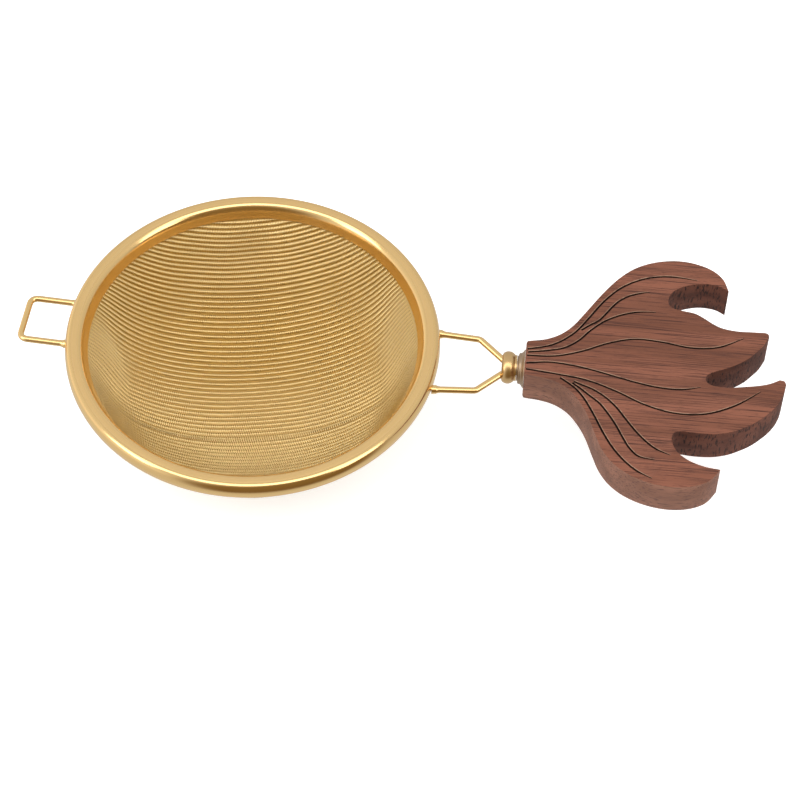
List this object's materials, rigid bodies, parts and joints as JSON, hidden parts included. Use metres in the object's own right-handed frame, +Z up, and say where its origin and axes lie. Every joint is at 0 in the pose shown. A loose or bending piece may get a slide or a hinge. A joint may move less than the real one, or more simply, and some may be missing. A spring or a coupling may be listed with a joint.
{
  "type": "tea strainer",
  "caption": "Round bowl of woven wire in a rolled metal rim, with a square wire ear and a flat flame-shaped wooden handle on a short two-wire neck.",
  "frame": {"origin": "on the floor plane through the lowest point of the bowl, under the middle of the whole object's length and width", "axes": "+X from the bowl along the handle, +Y to the left of the handle seen from the bowl, +Z up along the bowl's own axis, out of its open mouth"},
  "size_m": [0.1652, 0.0806, 0.0307],
  "materials": {
    "mesh": "gold-toned woven stainless steel wire, satin",
    "rim": "gold-toned stainless steel sheet, polished with a satin top",
    "core_wire": "plain drawn steel wire",
    "wire": "gold-toned drawn wire, satin",
    "ferrule": "turned brass, satin",
    "stud": "plain threaded rod",
    "walnut": "walnut, fine sanded, thin oil"
  },
  "bodies": {
    "root": {"mesh_bowl": "mesh", "rim_cap": "rim", "rim_core_hoop": "core_wire", "ear_wire": "wire", "neck_wire_left": "wire", "neck_wire_right": "wire", "ferrule_bead": "ferrule", "ferrule_collar": "ferrule", "handle_stud": "stud", "handle_board": "walnut"}
  },
  "joints": []
}
